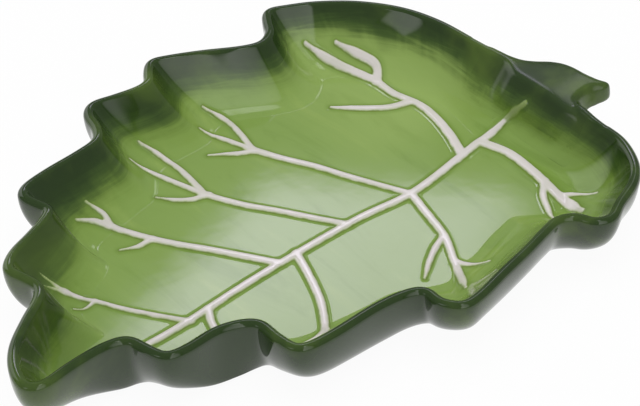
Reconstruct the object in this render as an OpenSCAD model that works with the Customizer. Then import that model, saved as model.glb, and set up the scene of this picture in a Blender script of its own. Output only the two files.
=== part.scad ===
// Glazed ceramic plate in the shape of a broad toothed leaf, with raised veins in its basin.
// X runs along the leaf from its tip to its stem, Y across it, and Z up from the table.
// The right half of the leaf is its +Y half, as seen from the stem.

/* [Plate] */
// Length of the blade, from the lip at the tip to the lip at the stem
blade_l = 276; // [240:1:330]
// Width of the blade over its widest teeth, lip to lip
blade_w = 205; // [180:1:240]
// Height of the plate from the table to the top of the lip
overall_h = 30; // [26:0.5:38]

/* [Wall] */
// Thickness of the rounded lip
lip_t = 4.9; // [4:0.1:6]
// Thickness of the floor
floor_t = 4.5; // [3.5:0.1:6]
// How far the wall leans in from the lip to the base
wall_run = 20; // [16:0.5:22]
// How far the basin's hollow wall reaches in past the base, to the flat floor
cove_run = 14; // [8:0.5:18]
// How sharply the basin's wall steepens towards the lip: 1 is a straight slope
cove_power = 1.8; // [1.4:0.05:2.2]
// How far the lip's round edge turns inward before it meets the basin's wall, in degrees
lip_turn = 150; // [135:1:165]

/* [Foot] */
// Height of the foot ring
foot_h = 2.5; // [1.5:0.1:4]
// Width of the foot ring
foot_w = 5; // [3:0.5:8]
// Distance of the foot ring in from the edge of the base
foot_inset = 5; // [3:0.5:9]

/* [Stem] */
// Reach of the stem beyond the lip
stem_l = 21.5; // [14:0.5:30]
// Width of the stem where it leaves the lip
stem_w = 42; // [32:0.5:50]
// Thickness of the stem
stem_t = 10; // [7:0.5:12]
// Drop of the stem's right edge below its left edge
stem_drop = 1; // [0:0.5:4]

/* [Veins] */
// Width of the midrib at the stem
midrib_w = 6; // [4:0.1:8]
// Width of the midrib at the tip
midrib_end_w = 3.2; // [2:0.1:5]
// Height of the midrib above the floor
midrib_h = 1.4; // [0.8:0.1:2.5]
// Width of a side vein at the midrib
side_w = 4.2; // [2.5:0.1:6]
// Width of a side vein where it forks
side_end_w = 2.8; // [1.5:0.1:4]
// Width of a twig at its end
twig_end_w = 1.6; // [1:0.1:2.5]
// Height of the side veins above the floor
side_h = 1.1; // [0.6:0.1:2]
// Gap under the veins where they climb the wall
seat_gap = 0.3; // [0.2:0.05:0.5]

/* [Hidden] */

// Colours of the glaze
glaze_dark = [0.16, 0.25, 0.17];
glaze_light = [0.50, 0.63, 0.30];
glaze_vein = [0.86, 0.84, 0.81];
clay = [0.85, 0.81, 0.73];

// One row for each place round the leaf, from the stem past the right teeth to the tip and back.
// The first two numbers place the lip, as shares of the blade's length from the tip and of its width.
// The last two say how far the base lies in from there, as shares of wall_run along X and Y.
edge_shares = [
    // Blunt end at the stem
    [1.000, -0.100, -0.75, 0.00], [1.000, 0.000, -0.70, 0.00], [0.995, 0.105, -0.70, -0.20],
    [0.990, 0.210, -0.75, -0.45], [0.970, 0.300, -0.80, -0.55], [0.930, 0.380, -0.70, -0.65],
    // First right tooth and the notch past it
    [0.880, 0.440, -0.35, -0.80], [0.835, 0.475, 0.05, -0.90], [0.805, 0.490, 0.20, -0.95],
    [0.785, 0.460, 0.30, -0.80], [0.770, 0.430, 0.30, -0.65], [0.740, 0.410, 0.30, -0.60],
    // Second right tooth
    [0.705, 0.425, 0.30, -0.70], [0.650, 0.470, 0.40, -0.85], [0.600, 0.505, 0.50, -0.90],
    [0.575, 0.515, 0.55, -0.95], [0.555, 0.490, 0.55, -0.80], [0.540, 0.465, 0.55, -0.70],
    // Third right tooth
    [0.515, 0.460, 0.55, -0.70], [0.475, 0.470, 0.55, -0.80], [0.440, 0.480, 0.60, -0.90],
    [0.420, 0.460, 0.60, -0.85], [0.410, 0.415, 0.50, -0.65], [0.390, 0.380, 0.50, -0.55],
    // Fourth right tooth
    [0.350, 0.370, 0.60, -0.55], [0.290, 0.365, 0.70, -0.65], [0.245, 0.355, 0.80, -0.65],
    [0.230, 0.335, 0.80, -0.60], [0.235, 0.300, 0.65, -0.50], [0.240, 0.270, 0.55, -0.45],
    // Fifth right tooth
    [0.220, 0.250, 0.55, -0.45], [0.185, 0.230, 0.60, -0.45], [0.145, 0.210, 0.70, -0.45],
    [0.120, 0.180, 0.75, -0.40], [0.125, 0.145, 0.65, -0.30], [0.130, 0.105, 0.50, -0.25],
    // Tip of the leaf
    [0.115, 0.075, 0.55, -0.15], [0.075, 0.040, 0.60, -0.10], [0.035, 0.000, 0.75, 0.10],
    [0.010, -0.045, 0.80, 0.35], [0.000, -0.095, 0.85, 0.60], [0.020, -0.115, 0.75, 0.60],
    [0.070, -0.110, 0.50, 0.45], [0.120, -0.110, 0.45, 0.25], [0.155, -0.125, 0.50, 0.20],
    // Fourth left tooth
    [0.165, -0.170, 0.60, 0.25], [0.175, -0.205, 0.70, 0.30], [0.205, -0.215, 0.65, 0.15],
    [0.255, -0.215, 0.50, 0.15], [0.290, -0.230, 0.45, 0.15], [0.310, -0.255, 0.45, 0.10],
    // Third left tooth
    [0.310, -0.300, 0.60, 0.20], [0.315, -0.345, 0.90, 0.35], [0.335, -0.360, 0.95, 0.40],
    [0.380, -0.365, 0.80, 0.40], [0.450, -0.365, 0.60, 0.35], [0.500, -0.375, 0.55, 0.35],
    // Second left tooth
    [0.525, -0.395, 0.65, 0.40], [0.525, -0.435, 0.95, 0.60], [0.545, -0.470, 1.10, 0.75],
    [0.580, -0.470, 1.05, 0.75], [0.635, -0.455, 0.80, 0.65], [0.695, -0.440, 0.55, 0.65],
    // First left tooth
    [0.745, -0.425, 0.40, 0.65], [0.775, -0.420, 0.35, 0.65], [0.800, -0.440, 0.45, 0.75],
    [0.810, -0.470, 0.60, 0.95], [0.835, -0.485, 0.65, 1.00], [0.870, -0.465, 0.50, 0.90],
    // Round shoulder back to the stem
    [0.920, -0.440, 0.10, 0.80], [0.955, -0.400, -0.30, 0.70], [0.980, -0.335, -0.50, 0.50],
    [0.985, -0.265, -0.55, 0.35], [0.995, -0.185, -0.65, 0.15]
];

// The midrib's course, as shares of the blade's length from the tip and of its width
midrib_shares = [[0.965, -0.070], [0.940, -0.055], [0.855, -0.055], [0.730, -0.075], [0.615, -0.060],
    [0.430, -0.055], [0.285, -0.070], [0.215, -0.070], [0.195, -0.070]];

// Side veins from the midrib out, each with its twigs after it, in the same shares
right_vein_shares = [
    [[[0.850, -0.055], [0.870, 0.005], [0.885, 0.070], [0.890, 0.130], [0.880, 0.195], [0.880, 0.255],
        [0.870, 0.315], [0.850, 0.375], [0.835, 0.415]],
        [[0.880, 0.250], [0.895, 0.270], [0.900, 0.290], [0.890, 0.330], [0.875, 0.375]],
        [[0.885, 0.150], [0.850, 0.160], [0.815, 0.195], [0.780, 0.240]]],
    [[[0.725, -0.075], [0.705, -0.005], [0.680, 0.065], [0.660, 0.125], [0.635, 0.190], [0.615, 0.255]],
        [[0.615, 0.250], [0.625, 0.310], [0.635, 0.365], [0.615, 0.415]],
        [[0.615, 0.250], [0.600, 0.305], [0.585, 0.340], [0.575, 0.370]],
        [[0.615, 0.245], [0.590, 0.265], [0.575, 0.280], [0.555, 0.300]]],
    [[[0.605, -0.060], [0.580, 0.000], [0.550, 0.065], [0.520, 0.130], [0.490, 0.210]],
        [[0.490, 0.205], [0.495, 0.265], [0.500, 0.320], [0.495, 0.365], [0.480, 0.400]],
        [[0.490, 0.205], [0.475, 0.275], [0.465, 0.325], [0.445, 0.370]],
        [[0.495, 0.200], [0.470, 0.210], [0.450, 0.230], [0.430, 0.265]]],
    [[[0.470, -0.055], [0.445, 0.000], [0.415, 0.065], [0.385, 0.125], [0.360, 0.190], [0.335, 0.260]],
        [[0.335, 0.255], [0.340, 0.280], [0.325, 0.310]],
        [[0.335, 0.255], [0.320, 0.275], [0.295, 0.290]],
        [[0.365, 0.170], [0.340, 0.170], [0.315, 0.185]]],
    [[[0.295, -0.070], [0.260, -0.005], [0.235, 0.050], [0.220, 0.100], [0.195, 0.145]],
        [[0.195, 0.140], [0.180, 0.165], [0.170, 0.180]],
        [[0.195, 0.140], [0.175, 0.155], [0.160, 0.160]],
        [[0.220, 0.100], [0.200, 0.095], [0.185, 0.105]]]
];
left_vein_shares = [
    [[[0.895, -0.055], [0.910, -0.115], [0.905, -0.185], [0.895, -0.255], [0.885, -0.320], [0.875, -0.365]],
        [[0.890, -0.285], [0.905, -0.320], [0.910, -0.355]],
        [[0.900, -0.230], [0.875, -0.260], [0.855, -0.300], [0.840, -0.335]]],
    [[[0.725, -0.075], [0.705, -0.145], [0.690, -0.215], [0.670, -0.270], [0.655, -0.310],
        [0.630, -0.355], [0.615, -0.380]],
        [[0.665, -0.285], [0.675, -0.315], [0.690, -0.345]],
        [[0.690, -0.210], [0.665, -0.225], [0.635, -0.250], [0.610, -0.280]]],
    [[[0.505, -0.060], [0.480, -0.120], [0.460, -0.185], [0.440, -0.235], [0.420, -0.275], [0.410, -0.300]],
        [[0.425, -0.265], [0.400, -0.270], [0.375, -0.265]]],
    [[[0.330, -0.065], [0.315, -0.100], [0.305, -0.140], [0.290, -0.170]]]
];

// Where the stem's middle meets the lip, as a share of the blade's width
stem_y_share = -0.105;
// The stem's left and right edges outward from the lip, as shares of stem_l and stem_w.
// The last two numbers are its thickness there and the drop of its top, as shares of stem_t.
stem_shares = [
    [-0.09, -0.50, -0.09, 0.57, 0.90, 0.10],
    [0.09, -0.44, 0.18, 0.49, 0.95, 0.02],
    [0.24, -0.41, 0.42, 0.36, 1.00, 0.00],
    [0.42, -0.40, 0.65, 0.24, 1.00, 0.00],
    [0.60, -0.41, 0.84, 0.10, 1.00, 0.00],
    [0.77, -0.43, 0.93, -0.04, 0.95, 0.02],
    [0.88, -0.44, 0.98, -0.22, 0.85, 0.08],
    [0.96, -0.40, 1.00, -0.30, 0.40, 0.30]
];

// Steps of the curves
edge_steps = 2;
vein_steps = 2;
wall_steps = 6;
lip_steps = 3;
lip_in_steps = 2;
stem_sides = 12;
// How square the stem's section is: 1 is an ellipse, and less is squarer
stem_square = 0.6;
// Width of a vein's shoulders, as a share of its width, and their height, as a share of its height
shoulder_w_share = 0.55;
shoulder_h_share = 0.8;
// Height of a side vein's end, as a share of its height at the midrib
end_h_share = 0.6;
// Width of a twig where it leaves its vein, as a share of side_w
twig_w_share = 0.65;
// The line that the base draws in towards, as shares of the blade's length and width
spine_from_share = 0.20;
spine_to_share = 0.86;
spine_y_share = -0.025;

lip_r = lip_t / 2;
lip_z = overall_h - lip_r;
floor_z = foot_h + floor_t;
wall_top_z = lip_z + lip_r * sin(lip_turn);
lip_pts = closed_curve([for (e = edge_shares) [e[0] * blade_l, e[1] * blade_w]]);
base_pts = closed_curve([for (e = edge_shares)
    [e[0] * blade_l + e[2] * wall_run, e[1] * blade_w + e[3] * wall_run]]);
edge_n = len(lip_pts);
lip_out = [for (i = [0 : edge_n - 1])
    outward(lip_pts[(i + edge_n - 1) % edge_n], lip_pts[(i + 1) % edge_n])];
lip_in_pts = [for (i = [0 : edge_n - 1]) lip_pts[i] + lip_r * cos(lip_turn) * lip_out[i]];
floor_pts = drawn_in(base_pts, cove_run);
middle = [(spine_from_share + spine_to_share) / 2 * blade_l, spine_y_share * blade_w];
stem_root = [blade_l, stem_y_share * blade_w];

// Height of the basin's wall at each share of the way from the floor's edge to the lip
cove_heights = [for (k = [0 : wall_steps]) cove_point(k / wall_steps)];
// The same, for the underside of a vein
seat_heights = [for (c = cove_heights) [c[0], c[1] + (c[0] > 0 ? seat_gap : 0)]];

// The box of the whole plate, which puts the origin under its middle
lip_outer_pts = [for (i = [0 : edge_n - 1]) lip_pts[i] + lip_r * lip_out[i]];
plate_from = [min([for (p = lip_outer_pts) p[0]]), min([for (p = lip_outer_pts) p[1]])];
plate_to = [stem_root[0] + stem_l, max([for (p = lip_outer_pts) p[1]])];
origin = (plate_from + plate_to) / 2;

// A point on the curve from b to c, with a and d their neighbours
function curve_point(a, b, c, d, t) =
    (2 * b + (c - a) * t + (2 * a - 5 * b + 4 * c - d) * t * t + (3 * b - 3 * c + d - a) * t * t * t) / 2;
function closed_curve(p) = let(n = len(p)) [for (i = [0 : n - 1], k = [0 : edge_steps - 1])
    curve_point(p[(i + n - 1) % n], p[i], p[(i + 1) % n], p[(i + 2) % n], k / edge_steps)];
function open_curve(p) = let(n = len(p)) concat([for (i = [0 : n - 2], k = [0 : vein_steps - 1])
    curve_point(p[max(i - 1, 0)], p[i], p[i + 1], p[min(i + 2, n - 1)], k / vein_steps)], [p[n - 1]]);
function unit(v) = v / norm(v);
// The outward direction at a point of the edge, from its two neighbours
function outward(before, after) = let(v = unit(after - before)) [v[1], -v[0]];
// Each point moved a distance towards the leaf's middle line
function drawn_in(pts, distance) = [for (p = pts) p + distance * unit([
    min(max(p[0], spine_from_share * blade_l), spine_to_share * blade_l), spine_y_share * blade_w] - p)];
function cove_point(share) = [share, floor_z + (wall_top_z - floor_z) * pow(share, cove_power)];
// The turn of the lip's edge at each of its points, from its outer side over its top
lip_turns = concat([for (k = [0 : lip_steps]) 90 * k / lip_steps],
    [for (k = [1 : lip_in_steps]) 90 + (lip_turn - 90) * k / lip_in_steps]);

// The wall's section at one place on the edge: up the outside, over the lip and down the cove
function wall_section(i) = concat(
    [for (k = [0 : wall_steps - 1]) let(a = 90 - 90 * k / wall_steps,
        p = lip_pts[i] + lip_r * cos(a) * lip_out[i] + (1 - cos(a)) * (base_pts[i] - lip_pts[i]))
        [p[0], p[1], lip_z - (lip_z - foot_h) * sin(a)]],
    [for (a = lip_turns) let(p = lip_pts[i] + lip_r * cos(a) * lip_out[i])
        [p[0], p[1], lip_z + lip_r * sin(a)]],
    [for (k = [1 : wall_steps]) let(c = cove_heights[wall_steps - k],
        p = floor_pts[i] + c[0] * (lip_in_pts[i] - floor_pts[i]))
        [p[0], p[1], c[1]]]);

// Share of the way up the wall at a point seen from above, or 0 on the flat floor
function wall_share(p) = let(found = [for (i = [0 : edge_n - 1])
    let(j = (i + 1) % edge_n,
        side_i = cross(lip_in_pts[i] - floor_pts[i], p - floor_pts[i]),
        side_j = cross(lip_in_pts[j] - floor_pts[j], p - floor_pts[j]))
    if (side_i > 0 && side_j <= 0)
        let(t = side_i / (side_i - side_j),
            foot = floor_pts[i] + t * (floor_pts[j] - floor_pts[i]),
            rise = lip_in_pts[i] + t * (lip_in_pts[j] - lip_in_pts[i]) - foot,
            s = (p - foot) * rise / (rise * rise))
        if (s > 0 && s < 1) s])
    len(found) > 0 ? max(found) : 0;
function seat_z(p) = lookup(wall_share(p), seat_heights);

// Triangles between sections of m points each. A loop of sections closes on its first.
function skin(n, m, loop, open_edge = false) = [
    for (i = [0 : n - (loop ? 1 : 2)], j = [0 : m - (open_edge ? 2 : 1)])
    let(i2 = (i + 1) % n, j2 = (j + 1) % m)
    each [[i * m + j, i * m + j2, i2 * m + j2], [i * m + j, i2 * m + j2, i2 * m + j]]];
// Triangles over one section, zigzag between its first half and its second
function zigzag(k, m) = k % 2 == 0 ? k / 2 : m - (k + 1) / 2;
function cap(start, m, flip) = [for (k = [0 : m - 3])
    let(a = start + zigzag(k, m), b = start + zigzag(k + 1, m), c = start + zigzag(k + 2, m))
    (k % 2 == 0) == flip ? [a, b, c] : [a, c, b]];
function flat(lists) = [for (l = lists) each l];

// A solid through sections of points, with flat ends
module sweep(sections) {
    n = len(sections);
    m = len(sections[0]);
    polyhedron(points = flat(sections),
        faces = concat(skin(n, m, false), cap(0, m, true), cap((n - 1) * m, m, false)));
}

// A vein's section: its underside follows the basin and its top is round
function vein_section(p, along, w, h) = let(
    side = [along[1], -along[0]] * w / 2,
    shoulder = side * shoulder_w_share)
    [[p[0] + side[0], p[1] + side[1], seat_z(p + side)],
        [p[0] + shoulder[0], p[1] + shoulder[1], seat_z(p + shoulder) + h * shoulder_h_share],
        [p[0], p[1], seat_z(p) + h],
        [p[0] - shoulder[0], p[1] - shoulder[1], seat_z(p - shoulder) + h * shoulder_h_share],
        [p[0] - side[0], p[1] - side[1], seat_z(p - side)],
        [p[0], p[1], seat_z(p)]];

// A raised vein along a list of shares, tapering in width and height
module vein(shares, from_w, to_w, from_h, to_h) {
    path = open_curve([for (s = shares) [s[0] * blade_l, s[1] * blade_w]]);
    n = len(path);
    sweep([for (i = [0 : n - 1]) let(t = i / (n - 1))
        vein_section(path[i], unit(path[min(i + 1, n - 1)] - path[max(i - 1, 0)]),
            from_w + t * (to_w - from_w), from_h + t * (to_h - from_h))]);
}

module centred() {
    translate([-origin[0], -origin[1], 0]) children();
}

module midrib_solid() {
    vein(midrib_shares, midrib_w, midrib_end_w, midrib_h, midrib_h);
}

// A side vein with its twigs, cut to the midrib's flank
module side_vein(branches) {
    color(glaze_vein) centred() difference() {
        union() {
            vein(branches[0], side_w, len(branches) > 1 ? side_end_w : twig_end_w,
                side_h, side_h * end_h_share);
            for (k = [1 : 1 : len(branches) - 1])
                vein(branches[k], side_w * twig_w_share, twig_end_w,
                    side_h * end_h_share, side_h * end_h_share / 2);
        }
        midrib_solid();
    }
}

// Floor, wall and lip in one thick shell
module dish_body() {
    sections = [for (i = [0 : edge_n - 1]) wall_section(i)];
    m = len(sections[0]);
    under = edge_n * m;
    over = under + 1;
    color(glaze_light) centred() polyhedron(
        points = concat(flat(sections), [[middle[0], middle[1], foot_h], [middle[0], middle[1], floor_z]]),
        faces = concat(skin(edge_n, m, true, true),
            [for (i = [0 : edge_n - 1]) let(j = (i + 1) % edge_n)
                each [[under, i * m, j * m], [over, j * m + m - 1, i * m + m - 1]]]));
}

// Ring that the plate stands on, set in from the edge of its base
module foot_ring() {
    color(clay) centred() linear_extrude(foot_h) difference() {
        polygon(drawn_in(base_pts, foot_inset));
        polygon(drawn_in(base_pts, foot_inset + foot_w));
    }
}

// The stem's section, rounded all round, between its left and right edges
function stem_section(s) = let(
    left = stem_root + [s[0] * stem_l, s[1] * stem_w],
    right = stem_root + [s[2] * stem_l, s[3] * stem_w],
    t = s[4] * stem_t,
    top = overall_h - s[5] * stem_t)
    [for (j = [0 : stem_sides - 1]) let(
        a = 360 * (j + 0.5) / stem_sides,
        across = sign(cos(a)) * pow(abs(cos(a)), stem_square),
        up = sign(sin(a)) * pow(abs(sin(a)), stem_square),
        p = (left + right) / 2 + across * (left - right) / 2)
        [p[0], p[1], top - t * (1 - up) / 2 - stem_drop * (1 - across) / 2]];

// The piece of the wall that the stem grows from
module wall_at_stem(reach) {
    sweep([for (i = [-reach : reach]) wall_section((i + edge_n) % edge_n)]);
}

// Short thick stem, seated against the outside of the lip and wall
module stem() {
    reach = edge_steps * 4;
    color(glaze_dark) centred() difference() {
        sweep([for (s = stem_shares) stem_section(s)]);
        wall_at_stem(reach);
    }
}

// Raised main vein from the stem to the tip
module midrib() {
    color(glaze_vein) centred() midrib_solid();
}

module vein_right_1() { side_vein(right_vein_shares[0]); }
module vein_right_2() { side_vein(right_vein_shares[1]); }
module vein_right_3() { side_vein(right_vein_shares[2]); }
module vein_right_4() { side_vein(right_vein_shares[3]); }
module vein_right_5() { side_vein(right_vein_shares[4]); }
module vein_left_1() { side_vein(left_vein_shares[0]); }
module vein_left_2() { side_vein(left_vein_shares[1]); }
module vein_left_3() { side_vein(left_vein_shares[2]); }
module vein_left_4() { side_vein(left_vein_shares[3]); }

dish_body();
foot_ring();
stem();
midrib();
vein_right_1();
vein_right_2();
vein_right_3();
vein_right_4();
vein_right_5();
vein_left_1();
vein_left_2();
vein_left_3();
vein_left_4();
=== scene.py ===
"""Looks of the leaf shaped plate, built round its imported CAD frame.

Sizes are in millimetres until a mesh is made.
"""

import itertools
import math

import bpy
import numpy as np
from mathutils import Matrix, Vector
from mathutils.bvhtree import BVHTree


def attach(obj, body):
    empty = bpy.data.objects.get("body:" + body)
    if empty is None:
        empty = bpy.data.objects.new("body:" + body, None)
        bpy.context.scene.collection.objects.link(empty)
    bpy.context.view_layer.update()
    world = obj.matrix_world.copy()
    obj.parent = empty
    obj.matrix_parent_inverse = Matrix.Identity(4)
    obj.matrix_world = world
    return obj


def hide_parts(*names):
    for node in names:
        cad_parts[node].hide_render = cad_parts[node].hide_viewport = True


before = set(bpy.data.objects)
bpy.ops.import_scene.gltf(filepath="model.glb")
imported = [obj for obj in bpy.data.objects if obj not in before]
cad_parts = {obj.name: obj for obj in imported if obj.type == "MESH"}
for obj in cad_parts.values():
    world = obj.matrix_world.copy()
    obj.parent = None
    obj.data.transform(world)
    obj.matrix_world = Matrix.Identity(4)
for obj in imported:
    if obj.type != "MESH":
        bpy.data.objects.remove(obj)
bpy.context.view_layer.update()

# Sizes, as in the part's source
BLADE_L, BLADE_W = 276.0, 205.0
OVERALL_H, LIP_T, FLOOR_T = 30.0, 4.9, 4.5
WALL_RUN, COVE_RUN = 20.0, 14.0
FOOT_H, FOOT_W, FOOT_INSET = 2.5, 5.0, 5.0
SPINE_FROM, SPINE_TO, SPINE_Y = 0.20, 0.86, -0.025
BLADE = np.array((BLADE_L, BLADE_W))
SPINE_X = (SPINE_FROM * BLADE_L, SPINE_TO * BLADE_L)
LIP_R = LIP_T / 2
LIP_Z = OVERALL_H - LIP_R
FLOOR_Z = FOOT_H + FLOOR_T
# Where the lip's round edge hands over to the basin's wall, and how the wall steepens
LIP_TURN, COVE_POWER = math.radians(150), 1.8
WALL_H = LIP_Z + LIP_R * math.sin(LIP_TURN) - FLOOR_Z
# The wall meets the floor at a faint crease, as if it began this share of its run further in
CREASE = 0.05
# The row's origin in the leaf's own coordinates
ORIGIN = np.array((147.544, 3.05))

# Places round the edge, points to each row of it, and the blur of its curve in places
PLACES, EDGE_STEPS, EDGE_BLUR = 800, 10, 1.6
# Points to each stretch of a vein
VEIN_STEPS = 6

# Light of the room and of the fill lamp, where 1 lights a white surface to white by itself
ROOM, FILL = 0.28, 2.3

# Rows of the edge, from the stem past the right teeth to the tip and back: where the lip is, and which
# way and how far the wall leans in to its foot
EDGE = np.array([
    (1.000, -0.100, -0.75, 0.00), (1.000, 0.000, -0.70, 0.00), (0.995, 0.105, -0.70, -0.20),
    (0.990, 0.210, -0.75, -0.45), (0.970, 0.300, -0.80, -0.55), (0.930, 0.380, -0.70, -0.65),
    (0.880, 0.440, -0.35, -0.80), (0.835, 0.475, 0.05, -0.90), (0.805, 0.490, 0.20, -0.95),
    (0.785, 0.460, 0.30, -0.80), (0.770, 0.430, 0.30, -0.65), (0.740, 0.410, 0.30, -0.60),
    (0.705, 0.425, 0.30, -0.70), (0.650, 0.470, 0.40, -0.85), (0.600, 0.505, 0.50, -0.90),
    (0.575, 0.515, 0.55, -0.95), (0.555, 0.490, 0.55, -0.80), (0.540, 0.465, 0.55, -0.70),
    (0.515, 0.460, 0.55, -0.70), (0.475, 0.470, 0.55, -0.80), (0.440, 0.480, 0.60, -0.90),
    (0.420, 0.460, 0.60, -0.85), (0.410, 0.415, 0.50, -0.65), (0.390, 0.380, 0.50, -0.55),
    (0.350, 0.370, 0.60, -0.55), (0.290, 0.365, 0.70, -0.65), (0.245, 0.355, 0.80, -0.65),
    (0.230, 0.335, 0.80, -0.60), (0.235, 0.300, 0.65, -0.50), (0.240, 0.270, 0.55, -0.45),
    (0.220, 0.250, 0.55, -0.45), (0.185, 0.230, 0.60, -0.45), (0.145, 0.210, 0.70, -0.45),
    (0.120, 0.180, 0.75, -0.40), (0.125, 0.145, 0.65, -0.30), (0.130, 0.105, 0.50, -0.25),
    (0.115, 0.075, 0.55, -0.15), (0.075, 0.040, 0.60, -0.10), (0.035, 0.000, 0.75, 0.10),
    (0.010, -0.045, 0.80, 0.35), (0.000, -0.095, 0.88, 0.64), (0.020, -0.115, 0.86, 0.73),
    (0.070, -0.110, 0.50, 0.41), (0.120, -0.110, 0.40, -0.02), (0.155, -0.125, 0.30, 0.02),
    (0.165, -0.170, 0.60, 0.25), (0.175, -0.205, 0.70, 0.30), (0.205, -0.215, 0.62, -0.03),
    (0.255, -0.215, 0.38, -0.18), (0.290, -0.230, 0.28, -0.09), (0.310, -0.255, 0.34, 0.08),
    (0.310, -0.300, 0.60, 0.20), (0.315, -0.345, 0.90, 0.35), (0.335, -0.360, 0.95, 0.40),
    (0.380, -0.365, 0.80, 0.40), (0.450, -0.365, 0.60, 0.30), (0.500, -0.375, 0.55, 0.35),
    (0.525, -0.395, 0.65, 0.40), (0.525, -0.435, 0.95, 0.60), (0.545, -0.470, 1.14, 0.79),
    (0.580, -0.470, 1.05, 1.00), (0.635, -0.455, 0.80, 0.86), (0.695, -0.440, 0.55, 0.87),
    (0.745, -0.425, 0.40, 0.83), (0.775, -0.420, 0.35, 0.81), (0.800, -0.440, 0.45, 0.71),
    (0.810, -0.470, 0.57, 0.86), (0.835, -0.485, 0.65, 1.00), (0.870, -0.465, 0.60, 1.18),
    (0.920, -0.440, 0.10, 0.80), (0.955, -0.400, -0.30, 0.70), (0.980, -0.335, -0.50, 0.50),
    (0.985, -0.265, -0.55, 0.35), (0.995, -0.185, -0.65, 0.15)])

# Veins as places along them, in shares of the blade's length and width. The midrib runs from the stem to
# the tip. Each side vein has its main stretch first and then its twigs.
MIDRIB = [
    (0.963, -0.086), (0.956, -0.076), (0.944, -0.058), (0.900, -0.048), (0.855, -0.055), (0.730, -0.075),
    (0.615, -0.060), (0.430, -0.058), (0.285, -0.066), (0.215, -0.064), (0.195, -0.064)]
VEINS = {
    "vein_right_1": [
        [(0.850, -0.055), (0.870, 0.005), (0.885, 0.070), (0.890, 0.130), (0.880, 0.195), (0.880, 0.255),
         (0.866, 0.315), (0.848, 0.375), (0.835, 0.415)],
        [(0.880, 0.250), (0.895, 0.270), (0.900, 0.290), (0.890, 0.330), (0.875, 0.375)],
        [(0.885, 0.150), (0.850, 0.166), (0.815, 0.203), (0.780, 0.250)]],
    "vein_right_2": [
        [(0.725, -0.075), (0.701, -0.005), (0.678, 0.065), (0.660, 0.125), (0.635, 0.190), (0.615, 0.255)],
        [(0.615, 0.250), (0.627, 0.310), (0.632, 0.365), (0.615, 0.415)],
        [(0.615, 0.250), (0.603, 0.305), (0.592, 0.343), (0.583, 0.374)],
        [(0.615, 0.245), (0.590, 0.265), (0.575, 0.280), (0.555, 0.300)]],
    "vein_right_3": [
        [(0.605, -0.060), (0.577, 0.000), (0.548, 0.065), (0.517, 0.130), (0.488, 0.210)],
        [(0.490, 0.205), (0.497, 0.265), (0.500, 0.320), (0.493, 0.365), (0.478, 0.400)],
        [(0.490, 0.205), (0.475, 0.275), (0.463, 0.325), (0.443, 0.370)],
        [(0.495, 0.200), (0.470, 0.210), (0.450, 0.230), (0.430, 0.265)]],
    "vein_right_4": [
        [(0.470, -0.055), (0.445, 0.000), (0.415, 0.065), (0.385, 0.125), (0.358, 0.190), (0.335, 0.260)],
        [(0.335, 0.255), (0.340, 0.280), (0.325, 0.310)],
        [(0.335, 0.255), (0.320, 0.275), (0.295, 0.290)],
        [(0.365, 0.170), (0.340, 0.170), (0.315, 0.185)]],
    "vein_right_5": [
        [(0.295, -0.070), (0.263, -0.005), (0.238, 0.050), (0.219, 0.100), (0.193, 0.145)],
        [(0.195, 0.140), (0.180, 0.165), (0.170, 0.180)],
        [(0.195, 0.140), (0.175, 0.155), (0.160, 0.160)],
        [(0.220, 0.100), (0.200, 0.095), (0.185, 0.105)]],
    "vein_left_1": [
        [(0.895, -0.055), (0.907, -0.115), (0.903, -0.185), (0.893, -0.255), (0.883, -0.320),
         (0.873, -0.365)],
        [(0.890, -0.280), (0.909, -0.315), (0.917, -0.350)],
        [(0.900, -0.230), (0.872, -0.261), (0.852, -0.301), (0.837, -0.336)]],
    "vein_left_2": [
        [(0.725, -0.075), (0.710, -0.145), (0.694, -0.215), (0.671, -0.270), (0.653, -0.310),
         (0.630, -0.355), (0.615, -0.380)],
        [(0.665, -0.285), (0.675, -0.315), (0.690, -0.345)],
        [(0.692, -0.216), (0.664, -0.230), (0.633, -0.255), (0.606, -0.281)]],
    "vein_left_3": [
        [(0.504, -0.056), (0.486, -0.120), (0.463, -0.188), (0.438, -0.238), (0.416, -0.275),
         (0.406, -0.300)],
        [(0.423, -0.262), (0.399, -0.270), (0.374, -0.266)]],
    "vein_left_4": [
        [(0.330, -0.065), (0.315, -0.100), (0.305, -0.140), (0.290, -0.170)]],
}
# All veins lie this far from the places above, in millimetres
VEIN_SHIFT = np.array((-0.6, -1.3))
# Width of each side vein where it starts and where it forks
SIDE_WIDTHS = {"vein_right_1": (4.6, 3.8), "vein_right_2": (3.2, 3.8), "vein_right_3": (3.4, 3.5),
               "vein_right_4": (4.0, 3.3), "vein_right_5": (2.8, 2.0), "vein_left_1": (5.1, 4.6),
               "vein_left_2": (4.0, 3.0), "vein_left_3": (3.8, 3.0), "vein_left_4": (3.4, 2.6)}
# Width of the midrib at the stem, past its taper and at the leaf's tip
MIDRIB_STEM_W, MIDRIB_W, MIDRIB_END_W = 1.7, 4.1, 3.4
# Width of the twigs where they fork off and where they end
TWIG_WIDTHS = {"vein_right_1": (4.2, 3.4), "vein_right_5": (1.8, 1.4), "vein_left_1": (3.3, 2.6)}
TWIG_WIDTH = (3.1, 2.3)
# Length of the midrib's taper and of a free end's, and the share of its width that a free end keeps
MIDRIB_TAPER, END_TAPER, END_SHARE = 22.0, 11.0, 0.45
# A side vein forks at its end if a twig starts this near to it, as a share of the blade
FORK_NEAR = 0.02
# Two branches run together within this distance
FORK_ROUND = 1.0
# A vein's distance is worked out this far round it, and is taken as this beyond
VEIN_REACH, VEIN_FAR = 14, 60.0
# The vein's ridge: its height, where its side starts outside the vein's edge, and how wide the side is
RIDGE_H, RIDGE_FROM, RIDGE_RUN = 0.8, 0.6, 1.7
# The floor's slight rise towards a vein: its height, its width and how it steepens
SKIRT_H, SKIRT_RUN, SKIRT_POWER = 0.22, 2.3, 1.3


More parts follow.
